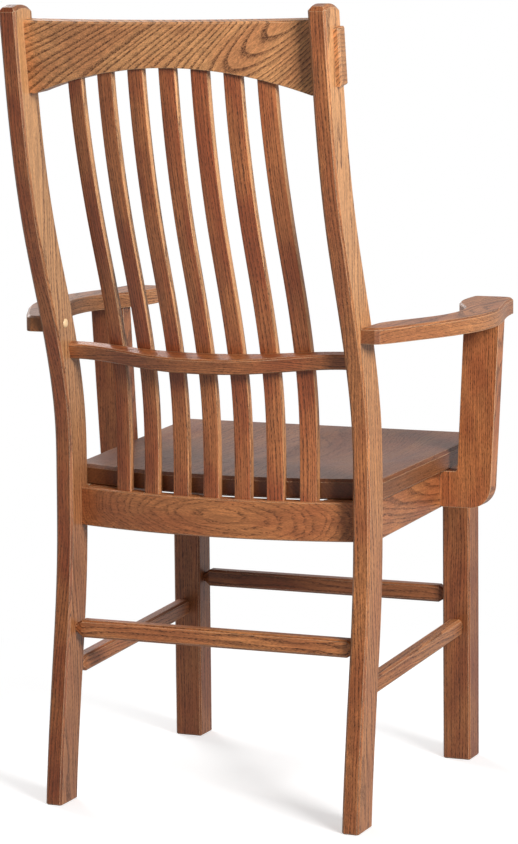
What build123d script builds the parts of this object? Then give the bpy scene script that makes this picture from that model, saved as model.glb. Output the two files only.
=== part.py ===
"""Mission dining armchair in stained oak.

Millimetres, +Z up, chair facing -Y, origin on the floor under the middle of its outline.
Distances "forward" are measured towards -Y from the back line, which is the plane of the
rear posts' back edges at their waist, just under the seat. Left and right are the sitter's.
"""
import math
import os

from build123d import *

# Overall sizes
post_height = 1111.5
frame_width = 468.0
back_sweep = 149.0
foot_kick = 49.0
seat_reach = 461.5

# Rear posts, sawn to an S curve
post_thickness = 25.0
post_depth = 52.0
post_easing = 3.0
post_crown = 5.0
foot_easing = 1.5
kick_curve_shares = ((0.0, 1.0), (0.09, 0.76), (0.18, 0.44), (0.261, 0.165), (0.332, 0.03))
sweep_curve_shares = (
    (0.402, 0.0), (0.478, 0.012), (0.553, 0.13), (0.634, 0.34), (0.714, 0.57),
    (0.795, 0.745), (0.875, 0.865), (0.955, 0.955),
)

# Front legs
front_width = 472.0
leg_size = 42.0
leg_reach = 399.0
leg_easing = 2.5

# Seat board, pitched up towards the front and dished for each thigh
seat_front_height = 476.0
seat_rise = 9.5
seat_thickness = 28.0
seat_rear_width = 463.0
seat_front_width = 483.0
seat_post_gap = 1.5
seat_slat_gap = 6.0
seat_corner_round = 9.0
seat_edge_bevel = 4.5
seat_edge_easing = 2.0
dish_depth = 9.0
dish_rim = 150.0
dish_spread = 72.0
dish_reach = 275.0

# Aprons under the seat
apron_height = 54.0
apron_thickness = 21.0
rear_apron_bow = 31.0
side_apron_inset = 6.0
front_apron_inset = 4.0
apron_easing = 1.5

# Mortises, tenons and dowels
tenon_thickness = 10.0
tenon_shoulder = 3.0
post_tenon_length = 15.0
leg_tenon_length = 18.0
joint_gap = 0.15
dowel_diameter = 8.0
dowel_length = 36.0
dowel_in_arm = 14.0
dowel_edge = 13.0

# Back: crest rail, slats and lumbar rail
crest_drop = 24.0
crest_height = 98.5
crest_arch_rise = 39.0
crest_thickness = 22.0
crest_bow = 16.0
crest_setback = 23.0
crest_easing = 2.0
crest_tenon_height = 76.0
crest_tenon_proud = 8.0
crest_tenon_bevel = 2.0
slat_count = 7
slat_pitch = 46.0
slat_width = 23.0
slat_thickness = 12.0
slat_housing = 12.0
slat_hollow = 8.0
slat_extra_bow = 17.0
lumbar_height = 625.0
lumbar_section = 22.0
lumbar_width = 23.0
lumbar_bow = 34.0
lumbar_flare = 8.0
lumbar_gap = 0.5
lumbar_tenon_length = 14.0
lumbar_tenon_height = 14.0
lumbar_tenon_thickness = 12.0
lumbar_easing = 2.0
lumbar_curve_shares = ((0.0, 1.0), (0.28, 0.88), (0.53, 0.52), (0.76, 0.15), (1.0, 0.0))

# Arms, sawn to a flowing plan and lapped on the posts' outer faces
arm_height = 683.5
arm_thickness = 22.0
arm_length = 438.0
arm_flare = 106.0
arm_end_setback = 8.5
arm_end_round = 4.0
arm_inner_round = 8.0
arm_outer_round = 24.0
arm_easing = 3.0
arm_inner_shares = (
    (0.115, 0.0), (0.187, 0.06), (0.253, 0.185), (0.322, 0.315), (0.391, 0.425), (0.478, 0.50),
    (0.556, 0.51), (0.637, 0.45), (0.707, 0.325), (0.767, 0.195), (0.825, 0.115), (0.90, 0.075),
    (1.0, 0.075),
)
arm_outer_shares = (
    (0.0, 0.226), (0.087, 0.42), (0.16, 0.555), (0.235, 0.70), (0.31, 0.82), (0.40, 0.915),
    (0.50, 0.97), (0.60, 0.96), (0.69, 0.90), (0.77, 0.82), (0.85, 0.745), (0.93, 0.695),
    (1.0, 0.675),
)

# Arm posts, L-shaped boards that stand outside the seat and foot against the side aprons
arm_post_reach = 294.0
arm_post_thickness = 25.0
arm_post_stand_off = 26.5
arm_post_foot_width = 74.5
arm_post_foot_height = 51.5
arm_post_lean_in = 10.5
arm_post_lean_out = 14.5
arm_post_heel_round = 32.0
arm_post_toe_round = 4.0
arm_post_knuckle_round = 9.0
arm_post_crotch_round = 5.0

# Stretchers, drawn in at both ends to eight-sided tenons
stretcher_thickness = 19.0
cross_stretcher_section = 25.0
side_stretcher_section = 24.0
stretcher_neck = 11.0
stretcher_shoulder = 2.0
stretcher_easing = 3.0
stretcher_tenon = 15.0
stretcher_tenon_length = 16.0
stretcher_tenon_sides = 8
cross_stretcher_height = 242.0
side_stretcher_rear_height = 185.5
side_stretcher_front_height = 199.5
side_stretcher_inset = 7.0

# Corner blocks, screws and plugs, whose thin round forms are drawn with flats
block_side = 50.0
block_height = 38.0
block_gap = 4.0
screw_shank = 4.0
screw_head = 8.0
screw_head_height = 3.0
screw_point = 1.0
screw_bite = 14.0
screw_cover = 12.0
screw_gap = 0.1
screw_sides = 8
plug_diameter = 10.0
plug_depth = 7.0
plug_dome = 2.5
plug_sides = 16

cut_overrun = 5.0

# Places that several pieces share
post_outer = frame_width / 2
post_inner = post_outer - post_thickness
leg_outer = front_width / 2
leg_inner = leg_outer - leg_size
back_line = (seat_reach - back_sweep) / 2
leg_back = back_line - leg_reach
leg_front = leg_back - leg_size
side_apron_outer = post_outer - side_apron_inset
side_apron_inner = side_apron_outer - apron_thickness
side_apron_middle = side_apron_outer - apron_thickness / 2
rear_apron_end = back_line - rear_apron_bow
front_apron_face = leg_front + front_apron_inset
front_apron_rear = front_apron_face + apron_thickness
slat_inset = (apron_thickness - slat_thickness) / 2
seat_slope = seat_rise / (seat_reach - post_depth)
seat_tilt = math.atan(seat_slope)
seat_rear_reach = slat_inset + slat_thickness + seat_slat_gap
seat_rear_bow = post_depth + seat_post_gap - seat_rear_reach
seat_plane = Plane(
    origin=(0, back_line - seat_reach, seat_front_height), x_dir=(1, 0, 0), z_dir=(0, seat_slope, 1)
)
under_plane = seat_plane.offset(-seat_thickness)
sides = ((1, "left"), (-1, "right"))

os.makedirs("parts", exist_ok=True)


def save(builder, node):
    """Label one finished piece and write it under its node's name."""
    builder.part.label = node
    export_step(builder.part, f"parts/{node}.step")


def arc_radius(bow):
    """Radius of an arc across the back, between the posts' inner faces, that rises by bow."""
    return (post_inner**2 + bow**2) / (2 * bow)


def sagitta(x, bow):
    """How far such an arc has fallen from its middle at x."""
    radius = arc_radius(bow)
    return radius - math.sqrt(radius**2 - x**2)


def seat_under_at(forward):
    """Height of the seat's underside at a distance forward of the back line."""
    drop = seat_slope * (seat_reach - forward) + seat_thickness / math.cos(seat_tilt)
    return seat_front_height - drop


def post_back_points():
    """Points (y, z) up the S-shaped back edge of a rear post, from floor to top."""
    kick = [(back_line + share * foot_kick, z * post_height) for z, share in kick_curve_shares]
    sweep = [(back_line + share * back_sweep, z * post_height) for z, share in sweep_curve_shares]
    return kick + sweep + [(back_line + back_sweep, post_height - post_crown)]


post_edge = Edge.make_spline([Vector(0, y, z) for y, z in post_back_points()])


def post_back_at(height):
    """The y of a post's back edge at a height, and how fast it grows with height there."""
    low, high = 0.0, 1.0
    while high - low > 1e-7:
        middle = (low + high) / 2
        if post_edge.position_at(middle).Z < height:
            low = middle
        else:
            high = middle
    tangent = post_edge.tangent_at(low)
    return post_edge.position_at(low).Y, tangent.Y / tangent.Z


apron_top = seat_under_at(seat_rear_reach)
apron_bottom = apron_top - apron_height
apron_tenon_height = apron_height / 2 - 2 * tenon_shoulder
crest_top = post_height - crest_drop
crest_middle = crest_top - crest_height / 2
crest_low = crest_top - crest_height
crest_arch_top = crest_low + crest_arch_rise
crest_y, crest_lean = post_back_at(crest_middle)
crest_plane = Plane(origin=(0, crest_y, crest_middle), x_dir=(1, 0, 0), z_dir=(0, crest_lean, 1))
lumbar_y, lumbar_lean = post_back_at(lumbar_height)
lumbar_plane = Plane(origin=(0, lumbar_y, lumbar_height), x_dir=(1, 0, 0), z_dir=(0, lumbar_lean, 1))
arm_bottom = arm_height - arm_thickness
arm_middle = arm_height - arm_thickness / 2
arm_post_y = post_back_at(arm_middle)[0]


def post_front_points():
    """Points (y, z) up the front edge of a rear post, which is as wide as its foot all the way up."""
    return [(y - post_depth * math.hypot(1, post_back_at(z)[1]), z) for y, z in post_back_points()]


def slat_share(height):
    """How far up a slat a height is, from the apron's top to the crest rail's arch."""
    return (height - apron_top) / (crest_arch_top - apron_top)


def slat_swell(height):
    """How fully a slat's own curve shows at a height: not at all at its ends, most at its middle."""
    return math.sin(math.pi * slat_share(height))**2


def slat_bow(height):
    """The bow of the row of slats at a height, deepest between the apron and the crest rail."""
    straight = rear_apron_bow + slat_share(height) * (crest_bow - rear_apron_bow)
    return straight + slat_swell(height) * slat_extra_bow


def slat_back_at(x, height):
    """The y of a slat's back face at its middle."""
    crest_inset = crest_setback - crest_bow + (crest_thickness - slat_thickness) / 2
    straight = slat_inset + slat_share(height) * (crest_inset - slat_inset)
    inset = straight + slat_swell(height) * slat_hollow
    return post_back_at(height)[0] - inset - sagitta(x, slat_bow(height))


def crest_arch_at(x):
    """Height of the crest rail's arched lower edge."""
    return crest_arch_top - sagitta(x, crest_arch_rise)


def slat_blank(x, gap=0):
    """A slat about x with square edges, its faces turned to follow the bow of the rails.

    With a gap it is the slat's housing in the crest rail and the rear apron.
    """
    rows = 9
    foot = apron_top - slat_housing - gap
    head = crest_arch_at(x) + slat_housing + gap
    heights = [foot + (head - foot) * row / (rows - 1) for row in range(rows)]
    back_points = [(slat_back_at(x, z) + gap, z) for z in heights]
    turn = -math.asin(x / arc_radius(slat_bow(lumbar_height)))
    with BuildSketch(Plane.YZ.offset(x)) as outline:
        with BuildLine():
            back = Spline(*back_points)
            front = Spline(*[(y - slat_thickness - 2 * gap, z) for y, z in back_points])
            Line(back @ 0, front @ 0)
            Line(back @ 1, front @ 1)
        make_face()
    with BuildPart() as blank:
        extrude(
            outline.sketch,
            amount=(slat_width / 2 + gap) / math.cos(turn),
            dir=(math.cos(turn), math.sin(turn), 0),
            both=True,
        )
    return blank.part


def post_blank(side, inward=0):
    """A rear post with square edges and no joints cut, made thicker inward to cope what meets it."""
    with BuildSketch(Plane.YZ.offset(side * (post_inner - inward))) as outline:
        with BuildLine():
            back = Spline(*post_back_points())
            front = Spline(*post_front_points())
            Line(back @ 0, front @ 0)
            ThreePointArc(back @ 1, (((back @ 1).X + (front @ 1).X) / 2, post_height), front @ 1)
        make_face()
    with BuildPart() as blank:
        extrude(outline.sketch, amount=post_thickness + inward, dir=(side, 0, 0))
    return blank.part


def bowed_strip(plane, back_end, bow, thickness):
    """Plan of a rail between the posts, its back face at back_end there and bowed rearwards."""
    with BuildSketch(plane) as strip:
        with BuildLine():
            back = ThreePointArc((-post_inner, back_end), (0, back_end + bow), (post_inner, back_end))
            front_end = back_end - thickness
            front = ThreePointArc((-post_inner, front_end), (0, front_end + bow), (post_inner, front_end))
            Line(back @ 0, front @ 0)
            Line(back @ 1, front @ 1)
        make_face()
    return strip.sketch


def rear_apron_blank():
    """The bowed rear apron between the posts, with square edges and no joints cut."""
    strip = bowed_strip(
        Plane.XY.offset(apron_bottom), rear_apron_end, rear_apron_bow, apron_thickness
    )
    with BuildPart() as blank:
        extrude(strip, amount=apron_height)
    return blank.part


def tenon(plane, thickness, height, length, gap=0):
    """A square tenon standing on a plane, or with a gap the mortise for it."""
    with BuildPart() as block:
        with BuildSketch(plane):
            Rectangle(thickness + 2 * gap, height + 2 * gap)
        extrude(amount=length + gap)
    return block.part


def rod(plane, diameter, length, sides):
    """A thin round bar or hole that starts on a plane, drawn with a number of flats."""
    with BuildPart() as bar:
        with BuildSketch(plane):
            RegularPolygon(diameter / 2, sides, rotation=math.degrees(math.pi / sides))
        extrude(amount=length)
    return bar.part


def screw(seat, length):
    """A screw whose head sits on a plane and whose shank runs on along the plane's normal."""
    with BuildPart() as body:
        add(rod(seat.offset(-screw_head_height), screw_head, screw_head_height, screw_sides))
        add(rod(seat, screw_shank, length, screw_sides))
        tip = body.faces().sort_by(lambda face: seat.to_local_coords(face.center()).Z)[-1]
        chamfer(tip.edges(), screw_point)
    return body.part


def screw_hole(seat, length):
    """The hole for a screw's shank, open at the head's side."""
    start = seat.offset(-cut_overrun)
    return rod(start, screw_shank + 2 * screw_gap, cut_overrun + length + screw_gap, screw_sides)


def head_hole(seat, depth):
    """The wider hole that a screw's head is let into, depth long behind the head's seat."""
    return rod(seat.offset(-depth), screw_head + 2 * screw_gap, depth, screw_sides)


def stretcher_blank(start, end, thick_dir, section):
    """A stretcher from start to end, the points where its tenons enter."""
    base = Plane(origin=start, x_dir=thick_dir, z_dir=end - start)
    span = (end - start).length
    tenon_turn = math.degrees(math.pi / stretcher_tenon_sides)
    with BuildPart() as bar:
        with BuildSketch(base.offset(stretcher_neck)) as cross_section:
            Rectangle(stretcher_thickness, section)
            chamfer(cross_section.vertices(), stretcher_easing)
        extrude(amount=span - 2 * stretcher_neck)
        for end, shoulder in ((0, stretcher_shoulder), (-1, span - stretcher_shoulder)):
            end_face = bar.faces().sort_by(lambda face: base.to_local_coords(face.center()).Z)[end]
            with BuildSketch(base.offset(shoulder)) as tenon_section:
                RegularPolygon(stretcher_tenon / 2, stretcher_tenon_sides, rotation=tenon_turn)
            loft(sections=[end_face, tenon_section.sketch], ruled=True)
        tenon_base = base.offset(-stretcher_tenon_length)
        tenon_span = span + 2 * stretcher_tenon_length
        add(rod(tenon_base, stretcher_tenon, tenon_span, stretcher_tenon_sides))
    return bar.part


def stretcher_socket(mouth, inward, thick_dir):
    """The hole for a stretcher's tenon, from its mouth inwards."""
    start = Plane(origin=mouth, x_dir=thick_dir, z_dir=inward).offset(-cut_overrun)
    depth = cut_overrun + stretcher_tenon_length + joint_gap
    return rod(start, stretcher_tenon + 2 * joint_gap, depth, stretcher_tenon_sides)


def seat_plan_point(forward):
    """The seat plane's own distance from its front edge to a distance forward."""
    return (seat_reach - forward) / math.cos(seat_tilt)


def lumbar_front(x):
    """Place of the lumbar rail's front face in its own plane, just behind the slats."""
    behind = (slat_back_at(x, lumbar_height) - lumbar_y) * math.cos(math.atan(lumbar_lean))
    return behind + lumbar_gap


slat_places = [(index - (slat_count - 1) / 2) * slat_pitch for index in range(slat_count)]
lumbar_front_end = lumbar_front(slat_places[-1]) - lumbar_flare
lumbar_end = lumbar_front(0) + lumbar_width - lumbar_bow


def crest_tenon(side, length, gap=0):
    """The crest rail's through tenon, or with a gap its mortise, from the post's inner face."""
    base = Plane(
        origin=crest_plane.from_local_coords(
            (side * post_inner, -crest_setback - crest_thickness / 2, 0)
        ),
        x_dir=crest_plane.y_dir,
        z_dir=(side, 0, 0),
    )
    return tenon(base, crest_thickness, crest_tenon_height, length, gap)


def lumbar_tenon(side, gap=0):
    """The lumbar rail's blind tenon, or with a gap its mortise."""
    base = Plane(
        origin=lumbar_plane.from_local_coords(
            (side * post_inner, (lumbar_end + lumbar_front_end) / 2, 0)
        ),
        x_dir=lumbar_plane.y_dir,
        z_dir=(side, 0, 0),
    )
    return tenon(base, lumbar_tenon_thickness, lumbar_tenon_height, lumbar_tenon_length, gap)


def rear_apron_tenon(side, gap=0):
    """The rear apron's tenon, in the upper half of its height."""
    base = Plane(
        origin=(side * post_inner, rear_apron_end - apron_thickness / 2, apron_top - apron_height / 4),
        x_dir=(0, 1, 0),
        z_dir=(side, 0, 0),
    )
    return tenon(base, tenon_thickness, apron_tenon_height, post_tenon_length, gap)


def side_apron_rear_tenon(side, gap=0):
    """The side apron's tenon into the rear post, in the lower half of its height."""
    shoulder = post_depth + tenon_shoulder
    height = seat_under_at(shoulder) - 3 * apron_height / 4
    base = Plane(
        origin=(side * side_apron_middle, back_line - shoulder, height),
        x_dir=(1, 0, 0),
        z_dir=(0, 1, 0),
    )
    return tenon(base, tenon_thickness, apron_tenon_height, post_tenon_length + tenon_shoulder, gap)


def side_apron_front_tenon(side, gap=0):
    """The side apron's tenon into the front leg."""
    base = Plane(
        origin=(side * side_apron_middle, leg_back, seat_under_at(leg_reach) - apron_height / 2),
        x_dir=(1, 0, 0),
        z_dir=(0, -1, 0),
    )
    return tenon(base, tenon_thickness, apron_tenon_height, leg_tenon_length, gap)


front_apron_middle = (front_apron_face + front_apron_rear) / 2
front_apron_top = seat_under_at(back_line - front_apron_rear)
front_apron_bottom = front_apron_top - apron_height


def front_apron_tenon(side, gap=0):
    """The front apron's tenon into the front leg."""
    base = Plane(
        origin=(side * leg_inner, front_apron_middle, front_apron_top - apron_height / 2),
        x_dir=(0, 1, 0),
        z_dir=(side, 0, 0),
    )
    return tenon(base, tenon_thickness, apron_tenon_height, leg_tenon_length, gap)


# Where the stretchers' tenons enter the posts and legs
cross_rear_y = post_back_at(cross_stretcher_height)[0] - post_depth / 2
cross_front_y = leg_back - leg_size / 2
side_stretcher_x = post_outer - side_stretcher_inset - stretcher_thickness / 2
side_rear_y = post_back_at(side_stretcher_rear_height)[0] - post_depth


def cross_rear_mouth(side):
    """Where the rear stretcher enters a rear post."""
    return Vector(side * post_inner, cross_rear_y, cross_stretcher_height)


def cross_front_mouth(side):
    """Where the front stretcher enters a front leg."""
    return Vector(side * leg_inner, cross_front_y, cross_stretcher_height)


def side_rear_mouth(side):
    """Where a side stretcher enters its rear post."""
    return Vector(side * side_stretcher_x, side_rear_y, side_stretcher_rear_height)


def side_front_mouth(side):
    """Where a side stretcher enters its front leg."""
    return Vector(side * side_stretcher_x, leg_back, side_stretcher_front_height)


def block_corners(side, at_front):
    """Plan of a corner block: its square corner, then the two ends of its slanting face."""
    if at_front:
        corner = (leg_inner - block_gap, leg_reach - block_gap)
        along = (side_apron_inner, corner[1] - block_side)
        across = (corner[0] - block_side, back_line - front_apron_rear)
    else:
        corner = (side_apron_inner - block_gap, post_depth + block_gap)
        along = (side_apron_inner, corner[1] + block_side)
        across_x = corner[0] - block_side
        across = (across_x, sagitta(across_x, rear_apron_bow) + apron_thickness)
    return [Vector(side * x, back_line - forward) for x, forward in (corner, along, across)]


def seat_screw_seat(side, at_front):
    """Where a seat screw's head sits, under the middle of a corner block."""
    corner, along, across = block_corners(side, at_front)
    middle = (corner + (along + across) / 2) / 2
    height = seat_under_at(back_line - middle.Y) - block_height
    return Plane(origin=(middle.X, middle.Y, height), z_dir=(0, 0, 1))


def block_screw_seats(side, at_front):
    """Where the heads sit of a corner block's screws, into the side apron and across."""
    corner, along, across = block_corners(side, at_front)
    height = seat_screw_seat(side, at_front).origin.Z + block_height / 2
    into_side = Plane(
        origin=(side * (side_apron_inner - screw_cover), (corner.Y + along.Y) / 2, height),
        z_dir=(side, 0, 0),
    )
    x = (corner.X + across.X) / 2
    if at_front:
        face = front_apron_rear
    else:
        face = back_line - sagitta(x, rear_apron_bow) - apron_thickness
    forward = -1 if at_front else 1
    into_cross = Plane(origin=(x, face - forward * screw_cover, height), z_dir=(0, forward, 0))
    return into_side, into_cross


def arm_post_screw_seats(side):
    """Where the heads sit of the screws through a side apron into the arm post's foot."""
    reach = arm_post_reach + arm_post_thickness / 2
    top = seat_under_at(arm_post_reach)
    heights = (top - apron_height / 4, top - 3 * apron_height / 4)
    return [
        Plane(
            origin=(side * (side_apron_inner + screw_head_height), back_line - reach, height),
            z_dir=(side, 0, 0),
        )
        for height in heights
    ]


def arm_screw_seat(side):
    """Where the head sits of the screw through a rear post into the arm, under its plug."""
    depth = plug_depth + screw_head_height
    return Plane(
        origin=(side * (post_inner + depth), arm_post_y - post_depth / 2, arm_middle),
        z_dir=(side, 0, 0),
    )


def arm_dowel_bases(side):
    """Lower ends of the dowels that join an arm post's top to the arm."""
    y = back_line - arm_post_reach - arm_post_thickness / 2
    inner = side_apron_outer + arm_post_stand_off + arm_post_lean_in + dowel_edge
    outer = side_apron_outer + arm_post_foot_width + arm_post_lean_out - dowel_edge
    height = arm_bottom + dowel_in_arm - dowel_length
    return [Plane(origin=(side * x, y, height), z_dir=(0, 0, 1)) for x in (inner, outer)]


def dowel_hole(base):
    """A dowel's hole, a little longer than the dowel at both ends."""
    start = base.offset(-joint_gap)
    return rod(start, dowel_diameter + 2 * joint_gap, dowel_length + 2 * joint_gap, screw_sides)


arm_screw_length = post_thickness - plug_depth - screw_head_height + screw_bite
arm_post_screw_length = apron_thickness - screw_head_height + screw_bite
seat_screw_length = block_height + screw_bite
block_screw_length = 2 * screw_cover

# Rear posts: S-curved boards with the mortises of the whole back
for side, hand in sides:
    with BuildPart() as rear_post:
        add(post_blank(side))
        chamfer(rear_post.faces().sort_by(Axis.Z)[-1].edges(), post_crown)
        long_edges = rear_post.edges().filter_by(lambda edge: edge.length > crest_low)
        chamfer(long_edges, post_easing)
        chamfer(rear_post.faces().sort_by(Axis.Z)[0].edges(), foot_easing)
        add(crest_tenon(side, post_thickness + cut_overrun, joint_gap), mode=Mode.SUBTRACT)
        add(lumbar_tenon(side, joint_gap), mode=Mode.SUBTRACT)
        add(rear_apron_tenon(side, joint_gap), mode=Mode.SUBTRACT)
        add(side_apron_rear_tenon(side, joint_gap), mode=Mode.SUBTRACT)
        cross_socket = stretcher_socket(cross_rear_mouth(side), (side, 0, 0), (0, 1, 0))
        add(cross_socket, mode=Mode.SUBTRACT)
        side_in = side_rear_mouth(side) - side_front_mouth(side)
        add(stretcher_socket(side_rear_mouth(side), side_in, (1, 0, 0)), mode=Mode.SUBTRACT)
        arm_seat = arm_screw_seat(side)
        plug_hole = rod(
            arm_seat.offset(-plug_depth - screw_head_height - cut_overrun),
            plug_diameter + 2 * screw_gap,
            plug_depth + screw_head_height + cut_overrun,
            plug_sides,
        )
        add(plug_hole, mode=Mode.SUBTRACT)
        add(screw_hole(arm_seat, arm_screw_length), mode=Mode.SUBTRACT)
    save(rear_post, f"rear_post_{hand}")

# Crest rail: bowed, leaning back with the posts, arched below, with through tenons
with BuildPart() as crest_rail:
    extrude(
        bowed_strip(
            crest_plane.offset(-crest_height / 2),
            -crest_setback,
            crest_bow,
            crest_thickness,
        ),
        amount=crest_height,
    )
    chamfer(crest_rail.faces().sort_by(Axis.Z)[-1].edges().filter_by(GeomType.CIRCLE), crest_easing)
    with BuildSketch(Plane.XZ.offset(-crest_y)):
        with BuildLine():
            arch = ThreePointArc((-post_inner, crest_low), (0, crest_arch_top), (post_inner, crest_low))
            Polyline(
                arch @ 1,
                (post_inner, crest_low - crest_arch_rise),
                (-post_inner, crest_low - crest_arch_rise),
                arch @ 0,
            )
        make_face()
    extrude(amount=crest_height, both=True, mode=Mode.SUBTRACT)
    for side, hand in sides:
        add(crest_tenon(side, post_thickness + crest_tenon_proud))
    for end in (0, -1):
        chamfer(crest_rail.faces().sort_by(Axis.X)[end].edges(), crest_tenon_bevel)
    for x in slat_places:
        add(slat_blank(x, joint_gap), mode=Mode.SUBTRACT)
save(crest_rail, "crest_rail")

# Slats: S-curved and let into the crest rail and the rear apron at full section
for index, x in enumerate(slat_places):
    with BuildPart() as slat:
        add(slat_blank(x))
    save(slat, f"back_slat_{index + 1}")

# Lumbar rail: leaning, its front against the bow of slats, its back sawn to a bell curve
with BuildPart() as lumbar_rail:
    with BuildSketch(lumbar_plane.offset(-lumbar_section / 2)):
        with BuildLine():
            half_back = [
                (share * post_inner, lumbar_end + rise * lumbar_bow)
                for share, rise in lumbar_curve_shares
            ]
            mirrored_back = [(-x, y) for x, y in half_back[:0:-1]]
            back = Spline(*mirrored_back, *half_back)
            at_slats = [(x, lumbar_front(x)) for x in slat_places]
            front = Spline((-post_inner, lumbar_front_end), *at_slats, (post_inner, lumbar_front_end))
            Line(back @ 0, front @ 0)
            Line(back @ 1, front @ 1)
        make_face()
    extrude(amount=lumbar_section)
    rear_face = lumbar_rail.faces().sort_by(Axis.Y)[-1]
    chamfer(rear_face.edges().filter_by(lambda edge: edge.length > post_inner), lumbar_easing)
    for side, hand in sides:
        add(lumbar_tenon(side))
save(lumbar_rail, "lumbar_rail")

# Rear apron: bowed under the row of slats, which stand in its top edge
with BuildPart() as rear_apron:
    add(rear_apron_blank())
    chamfer(rear_apron.edges().filter_by(GeomType.CIRCLE), apron_easing)
    for side, hand in sides:
        add(rear_apron_tenon(side))
    for x in slat_places:
        add(slat_blank(x, joint_gap), mode=Mode.SUBTRACT)
    for side, hand in sides:
        into_cross = block_screw_seats(side, False)[1]
        add(screw_hole(into_cross, block_screw_length), mode=Mode.SUBTRACT)
save(rear_apron, "rear_apron")

# Side aprons: parallel to the seat, their rear shoulders coped to the posts
for side, hand in sides:
    with BuildPart() as side_apron:
        with BuildSketch(Plane.YZ.offset(side * side_apron_inner)):
            with BuildLine():
                hidden = post_depth - cut_overrun
                Polyline(
                    (back_line - hidden, seat_under_at(hidden)),
                    (leg_back, seat_under_at(leg_reach)),
                    (leg_back, seat_under_at(leg_reach) - apron_height),
                    (back_line - hidden, seat_under_at(hidden) - apron_height),
                    close=True,
                )
            make_face()
        extrude(amount=side * apron_thickness)
        lower_edges = side_apron.faces().sort_by(Axis.Z)[0].edges()
        chamfer(lower_edges.filter_by(lambda edge: edge.length > leg_reach / 2), apron_easing)
        add(post_blank(side, apron_thickness), mode=Mode.SUBTRACT)
        add(rear_apron_blank(), mode=Mode.SUBTRACT)
        add(side_apron_rear_tenon(side))
        add(side_apron_front_tenon(side))
        for seat in arm_post_screw_seats(side):
            add(screw_hole(seat, arm_post_screw_length), mode=Mode.SUBTRACT)
            add(head_hole(seat, screw_head_height), mode=Mode.SUBTRACT)
        for at_front in (True, False):
            into_side = block_screw_seats(side, at_front)[0]
            add(screw_hole(into_side, block_screw_length), mode=Mode.SUBTRACT)
    save(side_apron, f"side_apron_{hand}")

# Front apron, between the front legs
with BuildPart() as front_apron:
    with BuildSketch(Plane.YZ):
        with BuildLine():
            Polyline(
                (front_apron_rear, front_apron_top),
                (front_apron_face, seat_under_at(back_line - front_apron_face)),
                (front_apron_face, front_apron_bottom),
                (front_apron_rear, front_apron_bottom),
                close=True,
            )
        make_face()
    extrude(amount=leg_inner, both=True)
    lower_edges = front_apron.faces().sort_by(Axis.Z)[0].edges()
    chamfer(lower_edges.filter_by(Axis.X), apron_easing)
    for side, hand in sides:
        add(front_apron_tenon(side))
        into_cross = block_screw_seats(side, True)[1]
        add(screw_hole(into_cross, block_screw_length), mode=Mode.SUBTRACT)
save(front_apron, "front_apron")

# Front legs, cut off under the pitched seat
for side, hand in sides:
    with BuildPart() as front_leg:
        with BuildSketch(Plane.YZ.offset(side * leg_inner)):
            with BuildLine():
                Polyline(
                    (leg_back, 0),
                    (leg_back, seat_under_at(leg_reach)),
                    (leg_front, seat_under_at(leg_reach + leg_size)),
                    (leg_front, 0),
                    close=True,
                )
            make_face()
        extrude(amount=side * leg_size)
        chamfer(front_leg.edges().filter_by(Axis.Z), leg_easing)
        chamfer(front_leg.faces().sort_by(Axis.Z)[0].edges(), foot_easing)
        add(side_apron_front_tenon(side, joint_gap), mode=Mode.SUBTRACT)
        add(front_apron_tenon(side, joint_gap), mode=Mode.SUBTRACT)
        cross_socket = stretcher_socket(cross_front_mouth(side), (side, 0, 0), (0, 1, 0))
        add(cross_socket, mode=Mode.SUBTRACT)
        side_in = side_front_mouth(side) - side_rear_mouth(side)
        add(stretcher_socket(side_front_mouth(side), side_in, (1, 0, 0)), mode=Mode.SUBTRACT)
    save(front_leg, f"front_leg_{hand}")

# Seat: a thick board, bowed at the rear beside the slats, with a dish for each thigh
dish_radius = (dish_rim**2 + dish_depth**2) / (2 * dish_depth)
with BuildPart() as seat_board:
    with BuildSketch(seat_plane):
        with BuildLine():
            rear = seat_plan_point(post_depth + seat_post_gap)
            front_edge = Line((-seat_front_width / 2, 0), (seat_front_width / 2, 0))
            left_edge = Line(front_edge @ 1, (seat_rear_width / 2, rear))
            left_corner = Line(left_edge @ 1, (post_inner, rear))
            rear_edge = ThreePointArc(left_corner @ 1, (0, rear + seat_rear_bow), (-post_inner, rear))
            right_corner = Line(rear_edge @ 1, (-seat_rear_width / 2, rear))
            Line(right_corner @ 1, front_edge @ 0)
        make_face()
    extrude(amount=-seat_thickness)
    upright_edges = seat_board.edges().filter_by(Axis(seat_plane.origin, seat_plane.z_dir))
    fillet(upright_edges.sort_by(Axis.Y)[:2], seat_corner_round)
    chamfer(seat_board.faces().filter_by(seat_plane).sort_by(Axis.Z)[-1].edges(), seat_edge_bevel)
    chamfer(seat_board.faces().filter_by(seat_plane).sort_by(Axis.Z)[0].edges(), seat_edge_easing)
    dish_centres = [
        seat_plane.from_local_coords(
            (side * dish_spread, seat_plan_point(dish_reach), dish_radius - dish_depth)
        )
        for side, hand in sides
    ]
    with Locations(*dish_centres):
        Sphere(dish_radius, mode=Mode.SUBTRACT)
    for side, hand in sides:
        for at_front in (True, False):
            seat_screw = seat_screw_seat(side, at_front)
            add(screw_hole(seat_screw, seat_screw_length), mode=Mode.SUBTRACT)
save(seat_board, "seat")

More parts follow.
